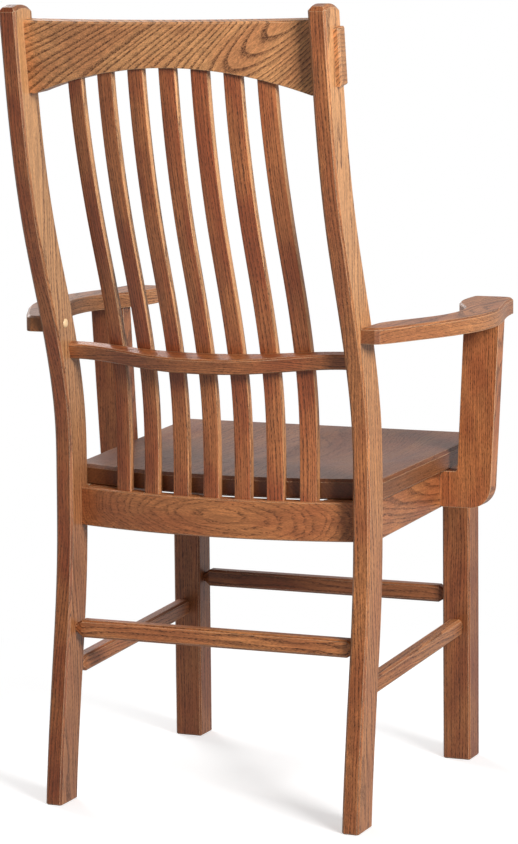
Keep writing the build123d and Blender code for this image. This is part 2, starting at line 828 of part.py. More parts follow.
# Arms: sawn to a flowing plan, level, their upper edges eased
for side, hand in sides:
    inner_x = [side * (post_outer + share * arm_flare) for along, share in arm_inner_shares]
    outer_x = [side * (post_outer + share * arm_flare) for along, share in arm_outer_shares]
    arm_rear = arm_post_y - arm_end_setback
    inner_y = [arm_rear - along * arm_length for along, share in arm_inner_shares]
    outer_y = [arm_rear - along * arm_length for along, share in arm_outer_shares]
    with BuildPart() as arm:
        with BuildSketch(Plane.XY.offset(arm_bottom)):
            with BuildLine():
                inner = Spline(*zip(inner_x, inner_y))
                outer = Spline(*zip(outer_x, outer_y))
                Polyline(inner @ 0, (side * post_outer, arm_rear), outer @ 0)
                Line(inner @ 1, outer @ 1)
            make_face()
        extrude(amount=arm_thickness)
        front_edges = arm.edges().filter_by(Axis.Z).sort_by(Axis.Y)[:2]
        front_edges = front_edges.sort_by(lambda edge: abs(edge.center().X))
        fillet(front_edges[0], arm_inner_round)
        fillet(front_edges[1], arm_outer_round)
        upright_edges = arm.edges().filter_by(Axis.Z)
        rear_corner = upright_edges.sort_by(lambda edge: abs(edge.center().X) + edge.center().Y)[-1]
        chamfer(rear_corner, arm_end_round)
        chamfer(arm.faces().sort_by(Axis.Z)[-1].edges(), arm_easing)
        add(screw_hole(arm_screw_seat(side), arm_screw_length), mode=Mode.SUBTRACT)
        for base in arm_dowel_bases(side):
            add(dowel_hole(base), mode=Mode.SUBTRACT)
    save(arm, f"arm_{hand}")

# Arm posts: L-shaped boards whose heels curve in under the seat's edge
for side, hand in sides:
    foot_top = seat_under_at(arm_post_reach)
    foot_bottom = foot_top - arm_post_foot_height
    with BuildPart() as arm_post:
        with BuildSketch(Plane.XZ.offset(arm_post_reach - back_line)):
            with BuildLine():
                toe_x = side_apron_outer
                inner_x = toe_x + arm_post_stand_off
                outer_x = toe_x + arm_post_foot_width
                Polyline(
                    (side * toe_x, foot_bottom),
                    (side * toe_x, foot_top),
                    (side * inner_x, foot_top),
                    (side * (inner_x + arm_post_lean_in), arm_bottom),
                    (side * (outer_x + arm_post_lean_out), arm_bottom),
                    (side * outer_x, foot_bottom),
                    close=True,
                )
            make_face()
        extrude(amount=arm_post_thickness)
        square_edges = arm_post.edges().filter_by(Axis.Y)
        heel = square_edges.sort_by(lambda edge: abs(edge.center().X) - edge.center().Z)[-1]
        toe = square_edges.sort_by(lambda edge: abs(edge.center().X) + edge.center().Z)[0]
        crotch = square_edges.sort_by(
            lambda edge: math.hypot(abs(edge.center().X) - inner_x, edge.center().Z - foot_top)
        )[0]
        knuckle = square_edges.sort_by(
            lambda edge: math.hypot(abs(edge.center().X) - toe_x, edge.center().Z - foot_top)
        )[0]
        fillet(heel, arm_post_heel_round)
        fillet(toe, arm_post_toe_round)
        fillet(knuckle, arm_post_knuckle_round)
        fillet(crotch, arm_post_crotch_round)
        for seat in arm_post_screw_seats(side):
            add(screw_hole(seat, arm_post_screw_length), mode=Mode.SUBTRACT)
        for base in arm_dowel_bases(side):
            add(dowel_hole(base), mode=Mode.SUBTRACT)
    save(arm_post, f"arm_post_{hand}")

# Stretchers
with BuildPart() as rear_stretcher:
    add(
        stretcher_blank(
            cross_rear_mouth(-1), cross_rear_mouth(1), (0, 1, 0), cross_stretcher_section
        )
    )
save(rear_stretcher, "rear_stretcher")

with BuildPart() as front_stretcher:
    add(
        stretcher_blank(
            cross_front_mouth(-1), cross_front_mouth(1), (0, 1, 0), cross_stretcher_section
        )
    )
save(front_stretcher, "front_stretcher")

for side, hand in sides:
    with BuildPart() as side_stretcher:
        add(
            stretcher_blank(
                side_rear_mouth(side), side_front_mouth(side), (1, 0, 0), side_stretcher_section
            )
        )
    save(side_stretcher, f"side_stretcher_{hand}")

# Corner blocks under the seat, screwed to the aprons and up into the seat
for side, hand in sides:
    for at_front, place in ((True, "front"), (False, "rear")):
        corner, along, across = block_corners(side, at_front)
        bottom = seat_screw_seat(side, at_front).origin.Z
        with BuildPart() as corner_block:
            with BuildSketch(Plane.XY.offset(bottom)):
                with BuildLine():
                    Polyline(
                        (corner.X, corner.Y),
                        (along.X, corner.Y),
                        (along.X, along.Y),
                        (across.X, across.Y),
                        (corner.X, across.Y),
                        close=True,
                    )
                make_face()
            extrude(amount=block_height + seat_thickness)
            split(bisect_by=under_plane, keep=Keep.BOTTOM)
            if not at_front:
                add(rear_apron_blank(), mode=Mode.SUBTRACT)
            add(
                screw_hole(seat_screw_seat(side, at_front), seat_screw_length), mode=Mode.SUBTRACT
            )
            for seat in block_screw_seats(side, at_front):
                add(screw_hole(seat, block_screw_length), mode=Mode.SUBTRACT)
                add(head_hole(seat, block_side), mode=Mode.SUBTRACT)
        save(corner_block, f"corner_block_{place}_{hand}")

# Screws, plugs and dowels, grouped by kind
with BuildPart() as seat_screws:
    for side, hand in sides:
        for at_front in (True, False):
            add(screw(seat_screw_seat(side, at_front), seat_screw_length))
save(seat_screws, "seat_screws")

with BuildPart() as corner_block_screws:
    for side, hand in sides:
        for at_front in (True, False):
            for seat in block_screw_seats(side, at_front):
                add(screw(seat, block_screw_length))
save(corner_block_screws, "corner_block_screws")

with BuildPart() as arm_post_screws:
    for side, hand in sides:
        for seat in arm_post_screw_seats(side):
            add(screw(seat, arm_post_screw_length))
save(arm_post_screws, "arm_post_screws")

with BuildPart() as arm_screws:
    for side, hand in sides:
        add(screw(arm_screw_seat(side), arm_screw_length))
save(arm_screws, "arm_screws")

with BuildPart() as arm_dowels:
    for side, hand in sides:
        for base in arm_dowel_bases(side):
            add(rod(base, dowel_diameter, dowel_length, screw_sides))
save(arm_dowels, "arm_dowels")

for side, hand in sides:
    plug_base = arm_screw_seat(side).offset(-screw_head_height)
    with BuildPart() as arm_plug:
        add(rod(plug_base, plug_diameter, -plug_depth - plug_dome, plug_sides))
        chamfer(arm_plug.faces().sort_by(lambda face: abs(face.center().X))[0].edges(), plug_dome)
    save(arm_plug, f"arm_plug_{hand}")
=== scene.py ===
"""Dresses the mission dining armchair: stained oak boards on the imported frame, stage, light and camera.

Everything is in metres in the frame's own axes: +Z up, the chair facing -Y, +X the sitter's left.
"""
import math

import bmesh
import bpy
from bpy.props import FloatProperty, FloatVectorProperty, IntProperty, PointerProperty, StringProperty
from bpy.types import Operator, Panel, PropertyGroup
from mathutils import Matrix, Vector
from mathutils.bvhtree import BVHTree


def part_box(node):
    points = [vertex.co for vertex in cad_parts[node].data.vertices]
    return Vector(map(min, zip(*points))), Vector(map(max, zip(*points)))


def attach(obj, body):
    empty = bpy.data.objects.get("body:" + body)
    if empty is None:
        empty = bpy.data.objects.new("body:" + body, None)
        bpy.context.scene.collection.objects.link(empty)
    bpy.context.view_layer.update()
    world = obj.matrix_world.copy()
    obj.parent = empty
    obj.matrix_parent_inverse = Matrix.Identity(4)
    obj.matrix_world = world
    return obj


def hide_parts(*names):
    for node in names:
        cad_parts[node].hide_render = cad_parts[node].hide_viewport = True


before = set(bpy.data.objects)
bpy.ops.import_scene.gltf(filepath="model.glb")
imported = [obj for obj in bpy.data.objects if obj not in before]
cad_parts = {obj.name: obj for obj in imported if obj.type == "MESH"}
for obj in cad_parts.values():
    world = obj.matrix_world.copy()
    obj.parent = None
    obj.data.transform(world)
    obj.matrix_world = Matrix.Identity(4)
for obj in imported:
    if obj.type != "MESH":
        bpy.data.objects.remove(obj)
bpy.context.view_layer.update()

bl_info = {
    "name": "Mission Dining Armchair",
    "version": (1, 0, 0),
    "blender": (4, 5, 0),
    "location": "3D View > Sidebar > Armchair",
    "description": "Oak boards, fittings, stage and camera of a mission dining armchair",
    "category": "Object",
}

MM = 0.001
SIDES = ((1, "left"), (-1, "right"))

# The photograph's height, in pixels
PHOTO_HEIGHT = 844

# Settings that many nodes share
TIMES = {"operation": "MULTIPLY"}
TIMES_PLUS = {"operation": "MULTIPLY_ADD"}
SCALE = {"operation": "SCALE"}
DOT = {"operation": "DOT_PRODUCT"}
SMOOTH = {"interpolation_type": "SMOOTHSTEP"}
COLOURS = {"data_type": "RGBA"}

# Sockets of a Mix node that mixes colours
FIRST, SECOND, MIXED = 6, 7, 2


def linear(hex_colour):
    """An sRGB hex colour as linear RGBA."""
    parts = [int(hex_colour[i:i + 2], 16) / 255 for i in (1, 3, 5)]
    return [p / 12.92 if p <= 0.04045 else ((p + 0.055) / 1.055) ** 2.4 for p in parts] + [1.0]


def add_node(tree, kind, settings=None, inputs=None):
    """Adds a node and sets its properties and inputs. A socket, or a node for its first output, is linked."""
    node = tree.nodes.new(kind)
    for name, value in (settings or {}).items():
        setattr(node, name, value)
    for key, value in (inputs or {}).items():
        if isinstance(value, bpy.types.Node):
            value = value.outputs[0]
        if isinstance(value, bpy.types.NodeSocket):
            tree.links.new(value, node.inputs[key])
        else:
            node.inputs[key].default_value = value
    return node


def blank_material(name):
    """A new material and its empty node tree."""
    material = bpy.data.materials.new(name)
    material.use_nodes = True
    material.node_tree.nodes.clear()
    return material, material.node_tree


def grain_noise(tree, place, across, along, **inputs):
    """Noise drawn out along Z, its blots across by along in the units of place."""
    drawn = add_node(tree, "ShaderNodeVectorMath", TIMES, {0: place, 1: (1 / across, 1 / across, 1 / along)})
    return add_node(tree, "ShaderNodeTexNoise", None, {"Scale": 1.0, "Vector": drawn, **inputs})


class OakSettings(PropertyGroup):
    """Colours and grain of the stained oak."""

    late_colour: StringProperty(name="Latewood", description="Stained wood between the pores", default="#cc8851")
    deep_colour: StringProperty(name="Deep tone", description="Redder wood in the stain's blotches", default="#964b29")
    # Painted light: faces towards the chair's sides are mixed towards this colour; boards with a negative tone are also
    # tan
    tan_and_lit_side_colour: StringProperty(name="Tan and lit sides", description="Tan tone and painted light on the sides", default="#d09a68")
    pore_colour: StringProperty(name="Pores", description="Stain gathered in the open pores", default="#4f2811")
    # Painted highlight: the pale colour laid along the boards' edges
    edge_highlight_colour: StringProperty(name="Edge highlight", description="Painted highlight along the edges", default="#f0cda4")
    ring_width: FloatProperty(name="Ring width", description="Width of a year's growth, in mm", default=3.6, min=0.5)
    pore_width: FloatProperty(name="Pore width", description="Width of a pore streak, in mm", default=0.75, min=0.1)
    pore_length: FloatProperty(name="Pore length", description="Length of a pore streak, in mm", default=5.0, min=1)
    roughness: FloatProperty(name="Roughness", description="Of the satin lacquer", default=0.40, min=0, max=1)
    edge_radius: FloatProperty(
        name="Edge radius", description="Softened edge of the boards", default=1.8 * MM, min=0, unit="LENGTH"
    )


class SlatSettings(PropertyGroup):
    """Sizes of the row of slats; their curves come from the CAD slats."""

    count: IntProperty(name="Slats", description="Number of slats in the back", default=7, min=1)
    width: FloatProperty(name="Width", description="Across the back", default=23 * MM, unit="LENGTH")
    thickness: FloatProperty(name="Thickness", description="Front to back", default=12 * MM, unit="LENGTH")
    easing: FloatProperty(name="Easing", description="Radius of the long edges", default=0.8 * MM, unit="LENGTH")


class FittingSettings(PropertyGroup):
    """Sizes of the wood screws and of the turned buttons that hide the arm screws."""

    head_diameter: FloatProperty(name="Screw head", description="Countersunk head", default=8 * MM, unit="LENGTH")
    shank_diameter: FloatProperty(name="Screw shank", description="Over the thread", default=4 * MM, unit="LENGTH")
    pitch: FloatProperty(name="Pitch", description="Rise of the thread in one turn", default=1.8 * MM, unit="LENGTH")
    button_diameter: FloatProperty(name="Button", description="Width of the button", default=13 * MM, unit="LENGTH")
    button_rise: FloatProperty(name="Button rise", description="Height of its dome", default=3.4 * MM, unit="LENGTH")


class CameraSettings(PropertyGroup):
    """The photograph's viewpoint, fitted to the chair's edges."""

    place: FloatVectorProperty(
        name="Place", description="Position of the camera", size=3, unit="LENGTH",
        default=(-1.7908, 4.2198, 1.1710),
    )
    azimuth: FloatProperty(
        name="Azimuth", description="Turn about the chair from its rear view, in degrees", default=22.884
    )
    pitch: FloatProperty(name="Pitch", description="Degrees below level", default=6.599)
    roll: FloatProperty(name="Roll", description="Degrees about the view axis", default=-0.565)
    focal_pixels: FloatProperty(name="Focal length", description="In the photograph's pixels", default=3291.4)
    shift: FloatProperty(name="Shift", description="Of the lens, up, as a share of the frame", default=-0.0995)


def oak_figure():
    """Node group: the figure of a stained oak board, in mm with the grain along Z and the pith on the Z axis.

    Oak is ring porous: each ring starts with a band of large open pores that drink the stain and end as
    dark broken streaks, and closes with dense wood that stays lighter. Across the grain the same pores
    show as fine dark dots, and end grain takes more stain all over.
    """
    oak = bpy.context.scene.armchair_oak
    tree = bpy.data.node_groups.new("oak figure", "ShaderNodeTree")
    for name, kind in (("Vector", "Vector"), ("Ring width", "Float"), ("Wander", "Float"), ("Grain", "Vector")):
        tree.interface.new_socket(name, in_out="INPUT", socket_type=f"NodeSocket{kind}")
    for name in ("Early", "Pores", "Blotch", "Fibre", "End grain", "Side", "Edge"):
        tree.interface.new_socket(name, in_out="OUTPUT", socket_type="NodeSocketFloat")
    tree.interface.new_socket("Normal", in_out="OUTPUT", socket_type="NodeSocketVector")
    given = add_node(tree, "NodeGroupInput").outputs
    mm = add_node(tree, "ShaderNodeVectorMath", SCALE, {0: given["Vector"], "Scale": 1 / MM})

    # The trunk wanders a few mm over a hand's width, and ripples less over a finger's
    bent = mm
    for across, along, reach in ((70, 260, 15.0), (9, 45, 2.2)):
        noise = grain_noise(tree, mm, across, along, Detail=2.0)
        moved = add_node(tree, "ShaderNodeVectorMath", {"operation": "SUBTRACT"},
                         {0: noise.outputs["Color"], 1: (0.5, 0.5, 0.5)})
        for share in (reach, given["Wander"]):
            moved = add_node(tree, "ShaderNodeVectorMath", SCALE, {0: moved, "Scale": share})
        bent = add_node(tree, "ShaderNodeVectorMath", {"operation": "ADD"}, {0: bent, 1: moved})

    flat = add_node(tree, "ShaderNodeVectorMath", TIMES, {0: bent, 1: (1, 1, 0)})
    radius = add_node(tree, "ShaderNodeVectorMath", {"operation": "LENGTH"}, {0: flat})
    rings = add_node(tree, "ShaderNodeMath", {"operation": "DIVIDE"},
                     {0: radius.outputs["Value"], 1: given["Ring width"]})
    # Good years and bad: the spacing of the rings varies over about three years
    years = add_node(tree, "ShaderNodeTexNoise", {"noise_dimensions": "1D"}, {"Scale": 0.37, "Detail": 1.0, "W": rings})
    uneven = add_node(tree, "ShaderNodeMath", TIMES_PLUS, {0: years, 1: 1.6, 2: rings})
    phase = add_node(tree, "ShaderNodeMath", {"operation": "FRACT"}, {0: uneven})
    # A ring's early wood: dark from the start, then fading over the first half of the year
    early = add_node(tree, "ShaderNodeValToRGB", None, {"Fac": phase})
    ramp = early.color_ramp
    ramp.elements[0].color = ramp.elements[-1].color = (0, 0, 0, 1)
    for position, level in ((0.07, 1.0), (0.26, 0.8), (0.46, 0.15)):
        ramp.elements.new(position).color = (level, level, level, 1)

    # Real pores are about 0.3 mm wide; they are drawn coarser, in two sizes, to show at arm's length
    streaks = []
    for across, along, low, high, depth in (
        (oak.pore_width, oak.pore_length, 0.45, 0.62, 0.95),
        (2.0 * oak.pore_width, 3.2 * oak.pore_length, 0.50, 0.70, 0.45),
    ):
        noise = grain_noise(tree, bent, across, along, Detail=1.5, Roughness=0.6)
        streaks.append(add_node(tree, "ShaderNodeMapRange", SMOOTH,
                                {"From Min": low, "From Max": high, "To Max": depth, "Value": noise}))
    pores = add_node(tree, "ShaderNodeMath", {"operation": "ADD", "use_clamp": True}, {0: streaks[0], 1: streaks[1]})

    # Bundles of fibres, and blotches where the stain was wiped unevenly
    fibre = grain_noise(tree, bent, 3.2, 70, Detail=3.0)
    stain = grain_noise(tree, mm, 45, 110, Detail=3.0)
    blotch = add_node(tree, "ShaderNodeMapRange", SMOOTH, {"From Min": 0.36, "From Max": 0.66, "Value": stain})

    # How far the surface faces along the grain, and how far to the chair's sides, which masks the painted light on the
    # sides
    surface = add_node(tree, "ShaderNodeNewGeometry").outputs["Normal"]
    facings = {}
    for name, towards, low, high in (("End grain", given["Grain"], 0.25, 0.95), ("Side", (1, 0, 0), 0.55, 0.95)):
        facing = add_node(tree, "ShaderNodeVectorMath", DOT, {0: surface, 1: towards})
        size = add_node(tree, "ShaderNodeMath", {"operation": "ABSOLUTE"}, {0: facing.outputs["Value"]})
        facings[name] = add_node(tree, "ShaderNodeMapRange", SMOOTH,
                                 {"From Min": low, "From Max": high, "Value": size})

    # Edges: a softened normal catches the light, and its difference from the face's marks the edges, where a highlight
    # is painted
    soft = add_node(tree, "ShaderNodeBevel", {"samples": 6}, {"Radius": oak.edge_radius})
    same = add_node(tree, "ShaderNodeVectorMath", DOT, {0: soft, 1: surface})
    edge = add_node(tree, "ShaderNodeMapRange", SMOOTH,
                    {"From Min": 0.995, "From Max": 0.86, "Value": same.outputs["Value"]})
    add_node(tree, "NodeGroupOutput", None, {
        "Early": early, "Pores": pores, "Blotch": blotch, "Fibre": fibre, "Edge": edge, "Normal": soft, **facings
    })


GRAIN_AXES = {"X": Vector((1, 0, 0)), "Y": Vector((0, 1, 0)), "Z": Vector((0, 0, 1))}


def oak_board(name, grain, heart, lean=(0.0, 0.0), tone=0.5, light=1.0, ring=1.0, side=0.5, wander=1.0,
              figure_depth=0.4, crook=None, stave=None, attribute=None):
    """White oak, sawn, stained medium brown and lacquered satin, for one board.

    grain is the axis that the board's length runs along. heart is the pith's place beside the board's
    middle, in mm along the two other axes: a pith level with a face gives cathedrals on it, one beside
    its edge gives straight lines. lean is the trunk's slope along those two axes. tone goes from -1,
    tan, to 1, red, light scales the brightness, ring scales the width of the rings and side is how much
    painted light pales the board's sides, more towards the top. wander scales how far the rings stray and figure_depth
    is how dark they are.
    crook follows a bent trunk: minus the X where its bend starts, its bends in Y and Z and its slope in
    Z. stave is the width in mm of glued staves, and attribute holds the places on a board before it was bent.
    """
    oak = bpy.context.scene.armchair_oak
    material, tree = blank_material(f"stained oak {name}")
    pith = sum(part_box(name), Vector()) / 2 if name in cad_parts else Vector()
    trunk = GRAIN_AXES[grain].copy()
    for axis, distance, slope in zip((axis for axis in "XYZ" if axis != grain), heart, lean):
        pith += GRAIN_AXES[axis] * distance * MM
        trunk += GRAIN_AXES[axis] * slope
    rotation = trunk.rotation_difference(Vector((0, 0, 1))).to_matrix()
    on_chair = add_node(tree, "ShaderNodeTexCoord").outputs["Object"]
    place = on_chair
    if attribute:
        place = add_node(tree, "ShaderNodeAttribute", {"attribute_name": attribute}).outputs["Vector"]
    if crook:
        start, y_bend, z_bend, z_slope = crook
        x, y, z = add_node(tree, "ShaderNodeSeparateXYZ", None, {0: place}).outputs
        run = add_node(tree, "ShaderNodeMath", {"operation": "ADD"}, {0: x, 1: start})
        x_square, run_square = (add_node(tree, "ShaderNodeMath", TIMES, {0: root, 1: root}) for root in (x, run))
        y = add_node(tree, "ShaderNodeMath", TIMES_PLUS, {0: x_square, 1: y_bend, 2: y})
        for term, factor in ((run_square, -z_bend), (run, z_slope)):
            z = add_node(tree, "ShaderNodeMath", TIMES_PLUS, {0: term, 1: factor, 2: z})
        place = add_node(tree, "ShaderNodeCombineXYZ", None, {"X": x, "Y": y, "Z": z})
    shades = []
    if stave:
        # Each stave comes from another place in the trunk, up to 90 mm away, and is a little lighter or darker
        x = add_node(tree, "ShaderNodeSeparateXYZ", None, {0: place}).outputs["X"]
        index = add_node(tree, "ShaderNodeMath", {"operation": "DIVIDE"}, {0: x, 1: stave * MM})
        index = add_node(tree, "ShaderNodeMath", {"operation": "FLOOR"}, {0: index})
        chance = add_node(tree, "ShaderNodeTexWhiteNoise", {"noise_dimensions": "1D"}, {"W": index}).outputs
        shift = add_node(tree, "ShaderNodeVectorMath", SCALE, {0: chance["Color"], "Scale": 90 * MM})
        place = add_node(tree, "ShaderNodeVectorMath", {"operation": "ADD"}, {0: place, 1: shift})
        shades.append(add_node(tree, "ShaderNodeMapRange", None,
                               {"To Min": 0.82, "To Max": 1.14, "Value": chance["Value"]}))
    # A point mapping turns first and then moves, so the pith's place is turned too
    mapping = add_node(tree, "ShaderNodeMapping", {"vector_type": "POINT"},
                       {"Rotation": rotation.to_euler(), "Location": rotation @ -pith, "Vector": place})
    figure = add_node(tree, "ShaderNodeGroup", {"node_tree": bpy.data.node_groups["oak figure"]}, {
        "Ring width": oak.ring_width * ring, "Wander": wander, "Grain": GRAIN_AXES[grain], "Vector": mapping,
    }).outputs

    # The stain: two tones in blotches, fibres and staves, and painted light that makes the faces towards the chair's
    # sides paler
    late, deep, tan = (Vector(linear(colour)[:3]) for colour in (oak.late_colour, oak.deep_colour, oak.tan_and_lit_side_colour))
    late = late.lerp(tan, max(0.0, -tone))
    redness = max(0.0, tone)
    # pale is the painted light on the faces towards the chair's sides
    thin, thick, pale = (
        (*(colour * light), 1)
        for colour in (late.lerp(deep, redness * 0.6), late.lerp(deep, 0.35 + redness * 0.65), tan)
    )
    ground = add_node(tree, "ShaderNodeMix", COLOURS, {0: figure["Blotch"], FIRST: thin, SECOND: thick})
    # Painted light: the faces towards the chair's sides are painted paler, more so towards the top of the chair
    height = add_node(tree, "ShaderNodeSeparateXYZ", None, {0: on_chair}).outputs["Z"]
    side_light_by_height = add_node(tree, "ShaderNodeMapRange", SMOOTH,
                     {"From Min": 0.25, "From Max": 0.80, "To Min": 0.3 * side, "To Max": side, "Value": height})
    sides = add_node(tree, "ShaderNodeMath", TIMES, {0: side_light_by_height, 1: figure["Side"]})
    ground = add_node(tree, "ShaderNodeMix", COLOURS, {0: sides, FIRST: ground.outputs[MIXED], SECOND: pale})
    grown = ground.outputs[MIXED]
    fibre = {"From Min": 0.3, "From Max": 0.7, "To Min": 0.74, "To Max": 1.24, "Value": figure["Fibre"]}
    for shade in (add_node(tree, "ShaderNodeMapRange", None, fibre), *shades):
        grown = add_node(tree, "ShaderNodeVectorMath", SCALE, {0: grown, "Scale": shade})

    # Pores lie thickest in a ring's early wood, and end grain drinks so much stain that its rings hardly show
    early_pores = add_node(tree, "ShaderNodeMath", TIMES_PLUS, {0: figure["Early"], 1: 0.38, 2: 0.34})
    streaks = add_node(tree, "ShaderNodeMath", TIMES, {0: early_pores, 1: figure["Pores"]})
    drowned = add_node(tree, "ShaderNodeMath", TIMES_PLUS,
                       {0: figure["End grain"], 1: -0.8 * figure_depth, 2: figure_depth})
    band = add_node(tree, "ShaderNodeMath", TIMES_PLUS, {0: figure["Early"], 1: drowned, 2: streaks})
    dark = add_node(tree, "ShaderNodeMath", {"operation": "MULTIPLY_ADD", "use_clamp": True},
                    {0: figure["End grain"], 1: 0.32, 2: band})
    stained = add_node(tree, "ShaderNodeMix", COLOURS, {0: dark, FIRST: grown, SECOND: linear(oak.pore_colour)})

    # Painted highlight: a pale line along the edges, stronger in the blotches
    edge_glint = add_node(tree, "ShaderNodeMath", TIMES_PLUS, {0: figure["Blotch"], 1: 0.3, 2: 0.6})
    edge_glint = add_node(tree, "ShaderNodeMath", TIMES, {0: edge_glint, 1: figure["Edge"]})
    colour = add_node(tree, "ShaderNodeMix", COLOURS,
                      {0: edge_glint, FIRST: stained.outputs[MIXED], SECOND: linear(oak.edge_highlight_colour)})

    # The lacquer sinks into the pores, which are duller and a quarter of a millimetre deep at most
    height = add_node(tree, "ShaderNodeMath", TIMES_PLUS, {0: streaks, 1: -1.0, 2: 1.0})
    bump = add_node(tree, "ShaderNodeBump", None,
                    {"Strength": 0.35, "Distance": 0.25 * MM, "Height": height, "Normal": figure["Normal"]})
    gloss = add_node(tree, "ShaderNodeMath", TIMES_PLUS, {0: streaks, 1: 0.25, 2: oak.roughness})
    shader = add_node(tree, "ShaderNodeBsdfPrincipled", None, {
        "IOR": 1.5, "Coat Weight": 0.10, "Coat Roughness": 0.25,
        "Base Color": colour.outputs[MIXED], "Roughness": gloss, "Normal": bump,
    })
    add_node(tree, "ShaderNodeOutputMaterial", None, {"Surface": shader})
    return material


# How each board was sawn and took the stain, and how much light is painted on its sides, in oak_board's terms
BOARDS = {
    "rear_post_left": dict(grain="Z", heart=(-150, 35), lean=(0, 0.06), tone=1.0, light=0.9, side=1.0),
    "rear_post_right": dict(grain="Z", heart=(150, 30), lean=(0, 0.06), tone=0.6, light=1.15, side=0.8),
    "crest_rail": dict(grain="X", heart=(-47, -70), lean=(-0.304, -0.70), tone=-0.6, light=1.27, ring=1.39,
                       side=0.3, wander=0.4, figure_depth=0.50, crook=(0.15, 0.366, 1.15, 0.1)),
    "lumbar_rail": dict(grain="X", heart=(30, -90), tone=0.8, ring=0.8),
    "rear_apron": dict(grain="X", heart=(80, 2), lean=(0.03, 0.02), tone=0.55, light=1.05, ring=0.62,
                       figure_depth=0.2),
    "front_apron": dict(grain="X", heart=(-90, 8), lean=(0.05, 0.02), tone=0.5),
    "side_apron_left": dict(grain="Y", heart=(120, 50), lean=(0.05, 0), tone=0.6, side=0.1),
    "side_apron_right": dict(grain="Y", heart=(-120, 50), lean=(-0.05, 0), tone=0.6, side=0.1),
    "front_leg_left": dict(grain="Z", heart=(120, 60), tone=0.8, light=0.88, side=0.0),
    "front_leg_right": dict(grain="Z", heart=(-120, 60), tone=0.75, light=0.92, side=0.0),
    "arm_post_left": dict(grain="Z", heart=(160, 10), tone=0.8, ring=0.75, side=0.1),
    "arm_post_right": dict(grain="Z", heart=(-160, 10), tone=0.65, light=1.22, ring=0.75, side=0.0),
    "arm_left": dict(grain="Y", heart=(30, -110), lean=(0.05, 0), tone=0.4, ring=0.8),
    "arm_right": dict(grain="Y", heart=(-30, -110), lean=(0.05, 0), tone=0.4, ring=0.8, side=0.2),
    "side_stretcher_left": dict(grain="Y", heart=(60, 60), tone=0.7, side=0.2),
    "side_stretcher_right": dict(grain="Y", heart=(-60, 60), tone=0.4, side=0.1),
    "rear_stretcher": dict(grain="X", heart=(70, 20), tone=0.4, light=1.2),
    "front_stretcher": dict(grain="X", heart=(-70, 30), tone=0.9, light=0.75),
    **{f"corner_block_{end}_{side}": dict(grain="X", heart=(40, 40)) for end in ("front", "rear") for _, side in SIDES},
    "arm_dowels": dict(grain="Z", heart=(30, 10)),
    "seat": dict(grain="Y", heart=(40, -150), lean=(0.03, 0), tone=0.7, light=0.62, stave=82, side=0.1,
                 figure_depth=0.18),
}
SLATS = dict(grain="Z", heart=(-150, 40), lean=(0.01, 0), tone=0.95, light=1.12, side=1.0, attribute="board")

# Edges of a board that turn by more degrees than this stay sharp
SHARP = 24


def finish(obj, material):
    """Gives an object one material."""
    obj.data.materials.clear()
    obj.data.materials.append(material)


def refined(node, name, material):
    """A copy of a CAD node with its triangles joined and its curved faces shaded smooth, in its place."""
    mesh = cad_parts[node].data.copy()
    mesh.name = name
    shape = bmesh.new()
    shape.from_mesh(mesh)
    bmesh.ops.remove_doubles(shape, verts=shape.verts, dist=0.01 * MM)
    bmesh.ops.dissolve_degenerate(shape, edges=shape.edges, dist=0.005 * MM)
    for face in shape.faces:
        face.smooth = True
    for edge in shape.edges:
        edge.smooth = not (len(edge.link_faces) == 2 and edge.calc_face_angle(0.0) > math.radians(SHARP))
    shape.to_mesh(mesh)
    shape.free()
    obj = bpy.data.objects.new(name, mesh)
    bpy.context.scene.collection.objects.link(obj)
    if mesh.has_custom_normals:
        with bpy.context.temp_override(object=obj, active_object=obj, selected_objects=[obj]):
            bpy.ops.mesh.customdata_custom_splitnormals_clear()
    finish(obj, material)
    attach(obj, "root")
    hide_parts(node)


class ARMCHAIR_OT_boards(Operator):
    """Dress every board of the chair in its own piece of stained oak"""

    bl_idname = "armchair.boards"
    bl_label = "Oak boards"

    def execute(self, context):
        oak_figure()
        for node, board in BOARDS.items():
            refined(node, f"oak_{node}", oak_board(node, **board))
        return {"FINISHED"}


def turned_mesh(name, outline, sides):
    """A shape turned on the lathe about Z, from (radius, height) pairs that start and end on the axis."""
    shape = bmesh.new()
    rings = []
    for radius, height in outline:
        if radius == 0:
            rings.append([shape.verts.new((0, 0, height))])
            continue
        turns = (2 * math.pi * step / sides for step in range(sides))
        rings.append([shape.verts.new((radius * math.cos(turn), radius * math.sin(turn), height)) for turn in turns])
    for lower, upper in zip(rings, rings[1:]):
        for step in range(sides):
            after = (step + 1) % sides
            corners = [ring[place % len(ring)] for ring, place in
                       ((lower, step), (lower, after), (upper, after), (upper, step))]
            shape.faces.new(list(dict.fromkeys(corners))).smooth = True
    bmesh.ops.recalc_face_normals(shape, faces=shape.faces)
    mesh = bpy.data.meshes.new(name)
    shape.to_mesh(mesh)
    shape.free()
    return mesh


